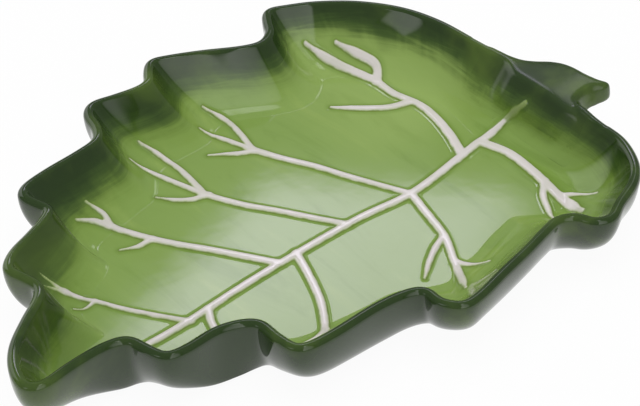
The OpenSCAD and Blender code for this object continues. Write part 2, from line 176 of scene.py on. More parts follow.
def smooth(x):
    """0 for x up to 0, 1 from 1 on, and level at both ends of the rise between them."""
    x = np.clip(x, 0, 1)
    return x * x * x * (x * (6 * x - 15) + 10)


def fade(x, start, end):
    """0 where x is at start or short of it, 1 where it is at end or past it, smooth between them."""
    return smooth((x - start) / (end - start))


def catmull(p, n, closed):
    """Points on the smooth curve through p, n to each stretch."""
    p = np.asarray(p, float)
    m = len(p)
    out = []
    for i in range(m if closed else m - 1):
        if closed:
            a, b, c, d = p[i - 1], p[i], p[(i + 1) % m], p[(i + 2) % m]
        else:
            a, b, c, d = p[max(i - 1, 0)], p[i], p[i + 1], p[min(i + 2, m - 1)]
        t = (np.arange(n) / n)[:, None]
        out.append((2 * b + (c - a) * t + (2 * a - 5 * b + 4 * c - d) * t ** 2
                    + (3 * b - 3 * c + d - a) * t ** 3) / 2)
    if not closed:
        out.append(p[-1:])
    return np.concatenate(out)


def unit(v):
    """Vectors v at a length of 1."""
    return v / np.linalg.norm(v, axis=-1, keepdims=True)


def midrib_point(p):
    """The point on the midrib that lies abreast of each point p."""
    line = catmull(np.array(MIDRIB) * BLADE, VEIN_STEPS, False)[::-1]
    x = np.clip(p[:, 0], *SPINE_X)
    return np.stack((x, np.interp(x, line[:, 0], line[:, 1])), 1)


def spine_point(p):
    """The point on the leaf's straight spine that lies nearest to each point p."""
    return np.stack((np.clip(p[:, 0], *SPINE_X), np.full(len(p), SPINE_Y * BLADE_W)), 1)


def even_loop(p, extra, n, blur):
    """The closed curve p at n even steps, with extra carried along, both smoothed a little.

    The curve's length comes with them.
    """
    step = np.linalg.norm(np.roll(p, -1, 0) - p, axis=1)
    s = np.concatenate(([0], np.cumsum(step)))
    carried = np.concatenate((p, extra), axis=1)
    carried = np.concatenate((carried, carried[:1]))
    at = np.linspace(0, s[-1], n, endpoint=False)
    out = np.stack([np.interp(at, s, carried[:, k]) for k in range(carried.shape[1])], 1)
    reach = int(4 * blur)
    w = np.exp(-0.5 * (np.arange(-reach, reach + 1) / blur) ** 2)
    w /= w.sum()
    out = sum(w[k + reach] * np.roll(out, k, axis=0) for k in range(-reach, reach + 1))
    return out, s[-1]


# The edge at even steps: the lip's middle, the wall's foot and the way out from the leaf
lip_curve = catmull(EDGE[:, :2] * BLADE, EDGE_STEPS, True)
base_curve = catmull(EDGE[:, :2] * BLADE + EDGE[:, 2:] * WALL_RUN, EDGE_STEPS, True)
loops, LIP_LENGTH = even_loop(lip_curve, base_curve, PLACES, EDGE_BLUR)
LIP, BASE = loops[:, :2], loops[:, 2:]
ALONG = unit(np.roll(LIP, -1, 0) - np.roll(LIP, 1, 0))
OUT = np.stack((ALONG[:, 1], -ALONG[:, 0]), 1)
# Where the basin's wall starts at the lip and where it ends at the floor
LIP_IN = LIP + LIP_R * math.cos(LIP_TURN) * OUT
FLOOR = BASE + COVE_RUN * unit(spine_point(BASE) - BASE)
RUN = np.linalg.norm(LIP_IN - FLOOR, axis=1)


def wall_rise(s):
    """Height on the wall at share s of its run, as a share of the whole."""
    low, high = CREASE ** COVE_POWER, (1 + CREASE) ** COVE_POWER
    return ((s + CREASE) ** COVE_POWER - low) / (high - low)


# Length of the wall's curve from the floor's edge to each share of the way up, at each place
SHARES = np.linspace(0, 1, 41)
COVE_LEN = np.hypot(RUN[:, None] * np.diff(SHARES), WALL_H * np.diff(wall_rise(SHARES))).cumsum(1)
COVE_LEN = np.concatenate((np.zeros((PLACES, 1)), COVE_LEN), 1)
# Way in over the lip's round edge, from its top to the wall
LIP_WAY = LIP_R * (LIP_TURN - math.pi / 2)


def way_in(u, s):
    """Way in from the top of the lip to share s of the wall at place u."""
    at = s * (len(SHARES) - 1)
    lo = np.minimum(np.asarray(at).astype(int), len(SHARES) - 2)
    along = COVE_LEN[u, lo] + (at - lo) * (COVE_LEN[u, lo + 1] - COVE_LEN[u, lo])
    return LIP_WAY + COVE_LEN[u, -1] - along


def segments(path, w0, w1, first=None, free=True):
    """A branch as points and the half width at each, which goes from w0 / 2 to w1 / 2.

    It starts out narrower where first is given, or else narrows to its end where that is free.
    """
    p = catmull(np.array(path) * BLADE, VEIN_STEPS, False) + VEIN_SHIFT
    s = np.concatenate(([0], np.cumsum(np.linalg.norm(np.diff(p, axis=0), axis=1))))
    w = w0 + (w1 - w0) * s / s[-1]
    if first is not None:
        w = first + (w - first) * smooth(s / MIDRIB_TAPER)
    elif free:
        w = w * (END_SHARE + (1 - END_SHARE) * smooth((s[-1] - s) / END_TAPER))
    return p, w / 2


def branch_distance(q, branch):
    """Distance from points q to the branch's edge, below zero inside it."""
    p, w = branch
    best = np.full(len(q), 1e9)
    for i in range(len(p) - 1):
        d = p[i + 1] - p[i]
        t = np.clip(((q - p[i]) @ d) / (d @ d), 0, 1)
        near = np.linalg.norm(q - p[i] - t[:, None] * d, axis=1) - (w[i] + (w[i + 1] - w[i]) * t)
        best = np.minimum(best, near)
    return best


def soft_min(a, b, k):
    """The lower of a and b, rounded where they come within k of each other."""
    h = np.clip(0.5 + 0.5 * (b - a) / k, 0, 1)
    return b + (a - b) * h - k * h * (1 - h)


def soft_max(a, b, k):
    """The higher of a and b, rounded where they come within k of each other."""
    return -soft_min(-a, -b, k)


BRANCHES = {"midrib": [segments(MIDRIB, MIDRIB_W, MIDRIB_END_W, MIDRIB_STEM_W)]}
for name, paths in VEINS.items():
    forks = any(math.dist(paths[0][-1], p[0]) < FORK_NEAR for p in paths[1:])
    BRANCHES[name] = [segments(paths[0], *SIDE_WIDTHS[name], free=not forks)]
    BRANCHES[name] += [segments(p, *TWIG_WIDTHS.get(name, TWIG_WIDTH)) for p in paths[1:]]


def vein_distance(q, names):
    """Distance from points q to the edge of the nearest of these veins, below zero inside it."""
    out = np.full(len(q), VEIN_FAR)
    for name in names:
        for branch in BRANCHES[name]:
            lo, hi = branch[0].min(0) - VEIN_REACH, branch[0].max(0) + VEIN_REACH
            near = ((q > lo) & (q < hi)).all(1)
            if near.any():
                out[near] = soft_min(out[near], branch_distance(q[near], branch), FORK_ROUND)
    return out


def relief(d):
    """Height of the floor's relief at a distance d from a vein's edge."""
    ridge = RIDGE_H * smooth((RIDGE_FROM - d) / RIDGE_RUN)
    skirt = SKIRT_H * np.clip(1 - np.maximum(d, 0) / SKIRT_RUN, 0, 1) ** SKIRT_POWER
    return ridge + skirt


def place(q, z):
    """Points of the leaf's own frame in the row's frame, in metres."""
    return np.column_stack((q[:, 0] - ORIGIN[0], q[:, 1] - ORIGIN[1], z)) / 1000


def add_mesh(name, verts, faces, attributes, material):
    """A smooth shaded object with a value or a vector for each of its points."""
    me = bpy.data.meshes.new(name)
    me.from_pydata([tuple(v) for v in verts], [], faces)
    me.validate()
    me.polygons.foreach_set("use_smooth", [True] * len(me.polygons))
    for key, value in attributes.items():
        value = np.asarray(value, np.float32)
        if value.ndim == 1:
            me.attributes.new(key, "FLOAT", "POINT").data.foreach_set("value", value)
        else:
            me.attributes.new(key, "FLOAT_VECTOR", "POINT").data.foreach_set("vector", value.ravel())
    me.materials.append(material)
    ob = bpy.data.objects.new(name, me)
    bpy.context.scene.collection.objects.link(ob)
    return ob


def paint(turn, inward, shade, vein_edge):
    """What the glaze's colour is worked out from, at points with a turn round the leaf and a way in.

    The flow runs round the leaf and in from its lip, for brush strokes.
    """
    r = LIP_LENGTH / (2 * math.pi)
    flow = np.column_stack((r * np.cos(turn), r * np.sin(turn), inward)) / 1000
    return {"inward": inward, "shade": shade, "vein_edge": vein_edge, "flow": flow}


# How much further in the dark glaze reaches, in millimetres, at some rows of the edge
DARKER = [
    (0, 1.5), (1.5, 3), (3, -2), (6, -3), (8, -2), (11, -1), (14, 2), (18, 4), (20, 1), (23, 0), (25, 4),
    (27, 8), (29, 2), (31, 3), (33, 7), (35, 2), (38, 2), (40, 0), (43, -3), (50, -5), (58, -5), (66, -4),
    (70, -3), (72, -2), (73, 0), (74, 1.5)]
step = np.linalg.norm(np.diff(np.concatenate((lip_curve, lip_curve[:1])), axis=0), axis=1)
place_of_row = np.concatenate(([0], np.cumsum(step)))[::EDGE_STEPS] / step.sum() * PLACES
wider_at_row = np.interp(np.arange(len(EDGE) + 1), *zip(*DARKER))
WIDER = np.interp(np.arange(PLACES), place_of_row, wider_at_row)


def darkness(turn, inward):
    """Way in from the lip, less what the dark glaze gains at that place."""
    at = turn / (2 * math.pi) * PLACES
    return inward - np.interp(at, np.arange(PLACES + 1), np.append(WIDER, WIDER[0]))


# Rings of the body, from the underside up the outer wall, over the lip and down into the basin
THETA = np.arange(PLACES) / PLACES * 2 * math.pi
UNDER_SHARES = (0.995, 0.8, 0.6, 0.4, 0.25, 0.12, 0.04)
OUTER_STEPS, LIP_STEPS, COVE_STEPS, FLOOR_STEPS = 22, 18, 29, 41
# Rings of the lip outside its top
LIP_OUTER = 11
# Way in that stands for the underside and for the outer wall's top, and what it gains down to the foot
UNDER_WAY, OUTER_WAY, OUTER_SPAN = -60.0, -4, -34
rings = []


def ring(xy, z, inward):
    """Add a ring of points at one height and one way in from the lip, or at one for each."""
    rings.append((xy, np.full(PLACES, z), np.full(PLACES, inward)))


for t in UNDER_SHARES:
    ring(BASE + t * (spine_point(BASE) - BASE), FOOT_H, UNDER_WAY)
for a in np.linspace(90, 0, OUTER_STEPS, endpoint=False):
    s, c = math.sin(math.radians(a)), math.cos(math.radians(a))
    outer = LIP + LIP_R * c * OUT + (1 - c) * (BASE - LIP)
    ring(outer, LIP_Z - (LIP_Z - FOOT_H) * s, OUTER_WAY + OUTER_SPAN * a / 90)
for a in np.linspace(0, LIP_TURN, LIP_STEPS):
    ring(LIP + LIP_R * math.cos(a) * OUT, LIP_Z + LIP_R * math.sin(a), (a - math.pi / 2) * LIP_R)
for s in np.append(np.linspace(1, 0, COVE_STEPS)[1:-1], (0.006, 0)):
    way = way_in(np.arange(PLACES), np.full(PLACES, s))
    ring(FLOOR + s * (LIP_IN - FLOOR), FLOOR_Z + WALL_H * wall_rise(s), way)
MIDDLE = midrib_point(FLOOR)
reach = np.linalg.norm(MIDDLE - FLOOR, axis=1)
for t in np.concatenate(((0.002,), np.linspace(0, 1, FLOOR_STEPS)[1:-1], (0.995,))):
    ring(FLOOR + t * (MIDDLE - FLOOR), FLOOR_Z, LIP_WAY + COVE_LEN[:, -1] + t * reach)

xy, z, inward = (np.concatenate(part) for part in zip(*rings))
first_inner = len(UNDER_SHARES) + OUTER_STEPS + LIP_OUTER
inner = np.arange(len(xy)) >= first_inner * PLACES
vein = np.full(len(xy), VEIN_FAR)
vein[inner] = vein_distance(xy[inner], BRANCHES)
faces = []
j = np.arange(PLACES)
k = (j + 1) % PLACES
for i in range(len(rings) - 1):
    lower, upper = i * PLACES, (i + 1) * PLACES
    faces += np.column_stack((lower + j, lower + k, upper + k, upper + j)).tolist()
faces.append(j[::-1].tolist())
faces.append(((len(rings) - 1) * PLACES + j).tolist())

# Points that are worked out at a time
BATCH = 3000
# Shares of the wall's run that count as abreast of it, from the floor's far side to past the lip
SHARE_LOW, SHARE_HIGH = -3.2, 1.2
# Way in where nothing of the wall is abreast
MIDDLE_WAY = 80.0


def basin(q, most=1.0):
    """Height of the bare basin at points q, the way in from the lip there and the turn round the leaf.

    The wall's curve carries on past the lip up to most, as a share of its run.
    """
    z = np.full(len(q), FLOOR_Z)
    way = np.full(len(q), MIDDLE_WAY)
    turn = np.zeros(len(q))
    rise = LIP_IN - FLOOR
    nxt = np.roll(np.arange(PLACES), -1)
    for lo in range(0, len(q), BATCH):
        p = q[lo:lo + BATCH]
        side = (rise[None, :, 0] * (p[:, 1:2] - FLOOR[None, :, 1])
                - rise[None, :, 1] * (p[:, 0:1] - FLOOR[None, :, 0]))
        hit = (side > 0) & (side[:, nxt] <= 0)
        for a in range(len(p)):
            best = None
            for i in np.nonzero(hit[a])[0]:
                j = nxt[i]
                t = side[a, i] / (side[a, i] - side[a, j])
                foot = FLOOR[i] + t * (FLOOR[j] - FLOOR[i])
                up = rise[i] + t * (rise[j] - rise[i])
                s = (p[a] - foot) @ up / (up @ up)
                if SHARE_LOW < s < SHARE_HIGH * most and (best is None or abs(s) < abs(best[0])):
                    best = (s, i + t)
            if best is not None:
                s, u = best
                k = int(u) % PLACES
                turn[lo + a] = u / PLACES * 2 * math.pi
                share = min(max(s, 0.0), 1.0)
                z[lo + a] = FLOOR_Z + WALL_H * wall_rise(min(max(s, 0.0), most))
                way[lo + a] = way_in(k, np.float64(share)) - min(s, 0.0) * RUN[k]
    return z, way, turn


def srgb(r, g, b):
    """The linear colour of an sRGB one from 0 to 255."""
    shares = [c / 255 for c in (r, g, b)]
    return tuple(c / 12.92 if c <= 0.04045 else ((c + 0.055) / 1.055) ** 2.4 for c in shares) + (1.0,)


class Nodes:
    """Short calls for a material's node tree."""

    def __init__(self, name):
        self.mat = bpy.data.materials.new(name)
        self.mat.use_nodes = True
        self.tree = self.mat.node_tree
        self.tree.nodes.clear()
        self.out = self.tree.nodes.new("ShaderNodeOutputMaterial")

    def add(self, kind, **props):
        n = self.tree.nodes.new(kind)
        for k, v in props.items():
            setattr(n, k, v)
        return n

    def link(self, value, socket):
        if isinstance(value, bpy.types.NodeSocket):
            self.tree.links.new(value, socket)
        else:
            socket.default_value = value

    def attribute(self, name, output="Fac"):
        return self.add("ShaderNodeAttribute", attribute_name=name).outputs[output]

    def here(self):
        """The place in the row's frame."""
        return self.add("ShaderNodeTexCoord").outputs["Object"]

    def math(self, op, a, b, clamp=False):
        n = self.add("ShaderNodeMath", operation=op, use_clamp=clamp)
        self.link(a, n.inputs[0])
        self.link(b, n.inputs[1])
        return n.outputs[0]

    def times(self, a, b):
        return self.math("MULTIPLY", a, b)

    def ramp(self, x, lo, hi):
        """0 where x is at lo and 1 where it is at hi."""
        n = self.add("ShaderNodeMapRange", interpolation_type="SMOOTHSTEP")
        for k, v in enumerate((x, lo, hi)):
            self.link(v, n.inputs[k])
        return n.outputs[0]

    def noise(self, vector, scale, detail=3.0, rough=0.5, stretch=None, turn=0.0, distortion=0.0):
        if stretch is not None:
            m = self.add("ShaderNodeMapping")
            self.link(vector, m.inputs["Vector"])
            m.inputs["Rotation"].default_value = (0, 0, turn)
            m.inputs["Scale"].default_value = stretch
            vector = m.outputs[0]
        n = self.add("ShaderNodeTexNoise")
        self.link(vector, n.inputs["Vector"])
        n.inputs["Scale"].default_value = scale
        n.inputs["Detail"].default_value = detail
        n.inputs["Roughness"].default_value = rough
        n.inputs["Distortion"].default_value = distortion
        return n.outputs["Fac"]

    def sway(self, noise, size):
        """A shift of up to half the size either way, by a noise from 0 to 1."""
        return self.times(self.math("SUBTRACT", noise, 0.5), size)

    def mix(self, fac, a, b):
        n = self.add("ShaderNodeMix", data_type="RGBA")
        self.link(fac, n.inputs[0])
        self.link(a, n.inputs[6])
        self.link(b, n.inputs[7])
        return n.outputs[2]

    def tint(self, colour, where, amount, to):
        """The colour, with an amount of another sRGB one where that is wanted."""
        return self.mix(self.times(where, amount), colour, srgb(*to))

    def glaze(self, colour, roughness, bump, strength, distance):
        p = self.add("ShaderNodeBsdfPrincipled")
        self.link(colour, p.inputs["Base Color"])
        self.link(roughness, p.inputs["Roughness"])
        p.inputs["IOR"].default_value = 1.5
        b = self.add("ShaderNodeBump")
        b.inputs["Strength"].default_value = strength
        b.inputs["Distance"].default_value = distance
        self.link(bump, b.inputs["Height"])
        self.link(b.outputs[0], p.inputs["Normal"])
        self.link(p.outputs[0], self.out.inputs["Surface"])
        return self.mat


# Colour of the glaze at some ways in from the lip, the last of them far onto the floor
GLAZE_STOPS = [
    (0, (41, 60, 26)), (6, (42, 62, 25)), (9, (48, 69, 28)), (12, (60, 83, 34)), (15, (76, 100, 42)),
    (18, (97, 123, 52)), (21, (116, 143, 65)), (25, (127, 155, 75)), (32, (130, 158, 80))]
# Way in at the end of the colour ramp
GLAZE_SPAN = 60.0


def leaf_glaze(name, roughness):
    """Green glaze brushed darker towards the lip, and pale on the veins.

    Attributes are in millimetres. Places in the row's frame are in metres.
    """
    n = Nodes(name)
    here = n.here()
    axes = n.add("ShaderNodeSeparateXYZ")
    n.link(here, axes.inputs[0])
    x, y = axes.outputs[0], axes.outputs[1]
    way = n.attribute("inward")
    shade = n.attribute("shade")
    edge = n.attribute("vein_edge")
    stroke = n.attribute("flow", "Vector")
    # Brush strokes along the lip, fingers down the wall, and thicker and thinner patches
    along = n.noise(stroke, 22.0, 4.0, 0.62, stretch=(1.0, 1.0, 11.0), distortion=0.6)
    down = n.noise(stroke, 75.0, 3.0, 0.6, stretch=(1.0, 1.0, 0.2), distortion=0.8)
    patch = n.noise(here, 26.0, 3.0, 0.5)
    shifted = n.math("ADD", shade, n.sway(along, 14.0))
    shifted = n.math("ADD", shifted, n.sway(down, 8.0))
    shifted = n.math("ADD", shifted, n.sway(patch, 9.0))
    ramp = n.add("ShaderNodeValToRGB")
    n.link(n.math("DIVIDE", shifted, GLAZE_SPAN), ramp.inputs[0])
    while len(ramp.color_ramp.elements) < len(GLAZE_STOPS):
        ramp.color_ramp.elements.new(0.5)
    for stop, (at, c) in zip(ramp.color_ramp.elements, GLAZE_STOPS):
        stop.position, stop.color = at / GLAZE_SPAN, srgb(*c)
    colour = ramp.outputs[0]
    # Streaks of thinner and thicker glaze over the floor
    streak = n.noise(here, 46.0, 5.0, 0.62, stretch=(1.0, 0.2, 1.0), turn=0.45, distortion=0.9)
    cloud = n.noise(here, 17.0, 4.0, 0.55, distortion=0.4)
    on_floor = n.ramp(way, 16.0, 34.0)
    pale = n.times(n.ramp(streak, 0.50, 0.72), on_floor)
    colour = n.tint(colour, pale, 0.6, (146, 170, 90))
    olive = n.times(n.ramp(streak, 0.46, 0.28), on_floor)
    colour = n.tint(colour, olive, 0.6, (108, 138, 56))
    colour = n.tint(colour, n.ramp(cloud, 0.5, 0.75), 0.35, (120, 148, 58))
    # The tip's own hollow is a deeper green
    tip = n.times(n.ramp(x, -0.080, -0.112), n.ramp(way, 12.0, 22.0))
    colour = n.tint(colour, tip, 0.4, (99, 126, 52))
    # The far side of the broad end is paler
    broad = n.times(n.ramp(x, 0.035, 0.085), n.ramp(y, -0.010, 0.022))
    broad = n.times(broad, n.ramp(shifted, 12.0, 22.0))
    colour = n.tint(colour, broad, 0.45, (158, 182, 104))
    # Glaze pools beside the veins, with a darker line along them; the darker band and line are partly
    # pooled glaze and partly painted shade, standing for the darkening where the vein's sloping flank
    # turns the glaze's reflection away
    near = n.ramp(shifted, 13.0, 24.0)
    pool_and_shade = n.times(n.ramp(edge, 3.2, 0.2), 0.45)
    colour = n.tint(colour, pool_and_shade, near, (104, 136, 48))
    # The darker line along the vein's edge is partly painted shade
    line = n.times(n.ramp(edge, 0.9, 0.2), 0.65)
    colour = n.tint(colour, line, near, (98, 118, 44))
    # Pale veins, washed with green towards the lip
    rim = n.math("ADD", edge, n.sway(n.noise(here, 240.0, 3.0), 0.9))
    white = n.ramp(rim, 0.3, -0.35)
    cream = n.mix(n.ramp(n.noise(here, 70.0, 3.0), 0.35, 0.7), srgb(216, 210, 207), srgb(208, 205, 196))
    vein_colour = n.mix(n.ramp(rim, -0.7, 0.0), cream, srgb(190, 198, 160))
    # The midrib stays pale further up the wall at the stem
    washed = n.math("ADD", shifted, n.times(n.ramp(x, 0.108, 0.116), 5.0))
    vein_colour = n.tint(vein_colour, n.ramp(washed, 24.0, 13.0), 0.8, (160, 180, 104))
    vein_colour = n.mix(n.ramp(washed, 10.0, 5.0), vein_colour, colour)
    # Green covers the midrib's very end at the stem
    vein_colour = n.tint(vein_colour, n.ramp(x, 0.1114, 0.1124), 0.85, (118, 142, 62))
    colour = n.mix(white, colour, vein_colour)
    return n.glaze(colour, roughness, n.noise(here, 70.0, 2.0, 0.5), 0.015, 0.0015)


def bare_clay():
    """Unglazed clay with a fine grain."""
    n = Nodes("bare_clay")
    here = n.here()
    grain = n.noise(here, 900.0, 3.0, 0.6)
    patch = n.noise(here, 60.0, 3.0, 0.5)
    colour = n.mix(patch, srgb(214, 200, 178), srgb(232, 222, 206))
    colour = n.tint(colour, n.ramp(grain, 0.55, 0.75), 0.4, (180, 160, 134))
    return n.glaze(colour, 0.75, grain, 0.25, 0.0003)


GLAZE = leaf_glaze("leaf_glaze", 0.06)
STEM_GLAZE = leaf_glaze("stem_glaze", 0.2)
CLAY = bare_clay()

# The stem's edge seen from above, in the leaf's own frame
STEM_EDGE = [
    (256, 24), (270, 23), (277.2, 16), (278.7, 9), (279.4, 4), (281.2, -1.5), (284.6, -6), (289.2, -10.5),
    (292.4, -15.5), (293.8, -21), (294.2, -27), (295.6, -32), (297.8, -35.4), (298.6, -38.2), (295.8, -40),
    (290, -39.6), (284, -39.4), (279.5, -41.5), (275, -47), (256, -50)]
# Beyond this place its top falls away towards the near side, by this share and after a bend this wide
STEM_CREST_Y, STEM_FALL, CREST_BEND = -26.0, 0.075, 2.5
# Its underside, and how much lower it reaches inside the wall
STEM_BOTTOM, STEM_DEPTH = 20.0, 14
# How far its near side leans back for each millimetre of height, up to which height above the underside,
# and how upright its nose is
STEM_LEAN, LEAN_H, NOSE_UPRIGHT = 0.5, 10, 0.8
# How far the stem's root thickens the wall
STEM_ROOT = 3.6
# How far the wall's curve is followed past the lip, as a share of its run
WALL_BEYOND = 2.0
# Rounding of the stem's edge, of its underside and of the hollow towards the basin
EDGE_ROUND, BOTTOM_ROUND, HOLLOW_ROUND = 2.6, 2.0, 1.8
# How far the body gives way to the stem's own shape where they join
BODY_YIELD = 3
# Rounding where the stem joins the wall and lip, where it leaves the outer wall, and the least anywhere
JOIN_ROUND, LEAVE_ROUND, LEAST_ROUND = 3, 4, 0.01
STEM_BLUR = 0.8
# The grid round the stem, and the distance given to points outside it
STEM_LOW, STEM_HIGH, STEM_PITCH = (250, -60, 8), (306, 26, 33.5), 0.7
OFF_GRID = 9.0
# The body is left alone below this height
SETTLE_FROM = 9
# Steps that heights are settled in, the most for each, and how deep a point may lie to be raised
SETTLE_STEPS, SETTLE_STEP, SETTLE_DEPTH = 14, 1.0, 5
# How far the body lies under the stem's skin
UNDER_SKIN = 0.12
# How much nearer to the lip the stem's shade counts as, which makes it darker than the wall
STEM_DARKER = 22
# Corners of a grid's cell
CORNERS = list(itertools.product((0, 1), repeat=3))


def loop_distance(q, loop):
    """Distance of points q from a closed outline, below zero inside it."""
    best = np.full(len(q), 1e9)
    inside = np.zeros(len(q), bool)
    for a, b in zip(loop, np.roll(loop, -1, 0)):
        d = b - a
        t = np.clip(((q - a) @ d) / (d @ d), 0, 1)
        best = np.minimum(best, np.linalg.norm(q - a - t[:, None] * d, axis=1))
        crosses = (a[1] > q[:, 1]) != (b[1] > q[:, 1])
        with np.errstate(divide="ignore", invalid="ignore"):
            at = a[0] + (q[:, 1] - a[1]) * (b[0] - a[0]) / (b[1] - a[1])
        inside ^= crosses & (q[:, 0] < at)
    return np.where(inside, -best, best)


class Field:
    """Distances from a surface on an even grid."""

    def __init__(self, lo, hi, pitch):
        self.lo, self.pitch = np.array(lo, float), pitch
        axes = [np.arange(a, b, pitch) for a, b in zip(lo, hi)]
        self.shape = tuple(len(a) for a in axes)
        self.points = np.stack(np.meshgrid(*axes, indexing="ij"), -1).reshape(-1, 3)
        self.values = None

    def blur(self, size):
        """Smooth the values over a size in millimetres."""
        reach = int(3 * size / self.pitch) + 1
        w = np.exp(-0.5 * (np.arange(-reach, reach + 1) * self.pitch / size) ** 2)
        w /= w.sum()
        for axis in range(3):
            pad = [(reach, reach) if k == axis else (0, 0) for k in range(3)]
            wide = np.pad(self.values, pad, mode="edge")
            n = self.shape[axis]
            self.values = sum(w[k] * np.take(wide, range(k, k + n), axis) for k in range(len(w)))

    def at(self, q):
        """The value at points q."""
        g = (q - self.lo) / self.pitch
        top = np.array(self.shape) - 2
        inside = ((g >= 0) & (g <= top + 1)).all(1)
        i = np.clip(g.astype(int), 0, top)
        f = np.clip(g - i, 0, 1)
        v = 0
        for corner in CORNERS:
            w = np.where(corner, f, 1 - f)
            v = v + w[:, 0] * w[:, 1] * w[:, 2] * self.values[tuple((i + corner).T)]
        return np.where(inside, v, OFF_GRID)

    def skin(self, v):
        """The surface where values v on this grid cross zero, as points and quads."""
        solid = v < 0
        cells = np.zeros(tuple(n - 1 for n in self.shape), bool)
        total = np.zeros(cells.shape + (3,))
        count = np.zeros(cells.shape)

        def at_corner(corner):
            return v[tuple(slice(d, d + n) for d, n in zip(corner, cells.shape))]

        for a in CORNERS:
            for axis in range(3):
                if a[axis]:
                    continue
                b = tuple(1 if k == axis else a[k] for k in range(3))
                va, vb = at_corner(a), at_corner(b)
                hit = (va < 0) != (vb < 0)
                t = np.where(hit, va / np.where(hit, va - vb, 1), 0)
                for k in range(3):
                    total[..., k] += np.where(hit, a[k] + (t if k == axis else 0), 0)
                count += hit
                cells |= hit
        index = np.full(cells.shape, -1)
        index[cells] = np.arange(cells.sum())
        pts = self.lo + self.pitch * (np.argwhere(cells) + total[cells] / count[cells][:, None])
        quads = []
        for axis in range(3):
            one = [slice(1, -1)] * 3
            one[axis] = slice(0, -1)
            two = list(one)
            two[axis] = slice(1, None)
            a, b = solid[tuple(one)], solid[tuple(two)]
            i = np.argwhere(a != b)
            flip = a[tuple(i.T)]
            for k in range(3):
                if k != axis:
                    i[:, k] += 1
            e1, e2 = np.roll(np.eye(3, dtype=int), -axis, 0)[1:]
            quad = np.stack([index[tuple((i - d).T)] for d in (e1 + e2, e2, 0, e1)], 1)
            quad[~flip] = quad[~flip][:, ::-1]
            quads.append(quad)
        return pts, np.concatenate(quads)


def wall_tree():
    """The body's faces round the stem, as they are now, to find the nearest place on them."""
    return BVHTree.FromPolygons(np.column_stack((xy, z)).tolist(), near_stem)


def stem_field():
    """Distances from the stem's skin where it has run together with the wall and the lip."""
    f = Field(STEM_LOW, STEM_HIGH, STEM_PITCH)
    x, y, height = f.points.T
    # Distance from the body
    tree = wall_tree()
    body = np.empty(len(x))
    for k, p in enumerate(f.points):
        spot, normal, _, far = tree.find_nearest(Vector(p))
        body[k] = math.copysign(far, (Vector(p) - spot).dot(normal))
    # The edge, leaning back on the near side but hardly at the nose
    levels = f.shape[2]
    plan = f.points[::levels, :2]
    edge = np.repeat(loop_distance(plan, catmull(np.array(STEM_EDGE, float), VEIN_STEPS, True)), levels)
    leaning = fade(y, -29, -38) * (1 - NOSE_UPRIGHT * fade(x, 286, 295))
    edge = edge + STEM_LEAN * np.clip(height - STEM_BOTTOM, 0, LEAN_H) * leaning
    # The hollow over the basin's wall, which the root thickens
    wall = basin(plan, WALL_BEYOND)[0]
    share = (np.maximum(wall - FLOOR_Z, 0) / WALL_H) ** (1 / COVE_POWER)
    steep = COVE_POWER * WALL_H / RUN[0] * share ** (COVE_POWER - 1)
    hollow = (height - np.repeat(wall, levels)) / np.sqrt(1 + np.repeat(steep, levels) ** 2)
    hollow = hollow - STEM_ROOT * fade(y, -50, -34) * fade(y, 6, -10) * fade(height, 10, 24)
    # The top and the underside
    past = STEM_CREST_Y - y
    top = height - (OVERALL_H - STEM_FALL * (np.hypot(past, CREST_BEND) + past) / 2)
    bottom = STEM_BOTTOM - STEM_DEPTH * fade(x, 277, 270) - height
    own = soft_max(soft_max(edge, top, EDGE_ROUND), bottom, BOTTOM_ROUND)
    own = soft_max(own, hollow, HOLLOW_ROUND)
    # The root runs into the lip and the wall, and the rest meets the outer wall in a fillet
    joined = fade(y, -43, -33) * fade(y, 13, -2) * fade(height, 17, 22)
    rounding = np.maximum(JOIN_ROUND * joined, LEAVE_ROUND * fade(x, 277, 281))
    merged = soft_min(body + BODY_YIELD * joined, own, np.maximum(LEAST_ROUND, rounding))
    f.values = merged.reshape(f.shape)
    f.blur(STEM_BLUR)
    return f


def stem_reach(q):
    """1 over the stem and the wall that it runs into, falling to 0 round them."""
    x, y = q[:, 0], q[:, 1]
    return fade(y, -55, -47) * fade(y, 21, 13) * fade(x, 254, 260)


def settle(q, height, raised=False):
    """Heights at points q, lowered to the stem's skin where they stand out, or also raised to it."""
    height = height.copy()
    near_x = q[:, 0] > STEM_LOW[0] + 1
    near_y = (q[:, 1] > STEM_LOW[1] + 1) & (q[:, 1] < STEM_HIGH[1] - 1)
    near = np.nonzero(near_x & near_y & (height > SETTLE_FROM))[0]
    for _ in range(SETTLE_STEPS):
        out = STEM.at(np.column_stack((q[near], height[near])))
        height[near] -= np.where((out > 0) & (out < OFF_GRID - 1), np.minimum(out, SETTLE_STEP), 0)
        if raised:
            height[near] += np.where((out < 0) & (out > -SETTLE_DEPTH), np.minimum(-out, SETTLE_STEP), 0)
    return height


# The body's faces round the stem, without the two that close the underside and the floor in the middle
near_stem = [face for face in faces[:-2] if xy[face[0], 0] > 235 and -85 < xy[face[0], 1] < 50]
STEM = stem_field()
z = settle(xy, z) - np.where(z > SETTLE_FROM, UNDER_SKIN * stem_reach(xy), 0)

turn = np.tile(THETA, len(rings))
body = add_mesh("dish_body_glazed", place(xy, z), faces,
                paint(turn, inward, darkness(turn, inward), vein), GLAZE)
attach(body, "root")
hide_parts("dish_body")


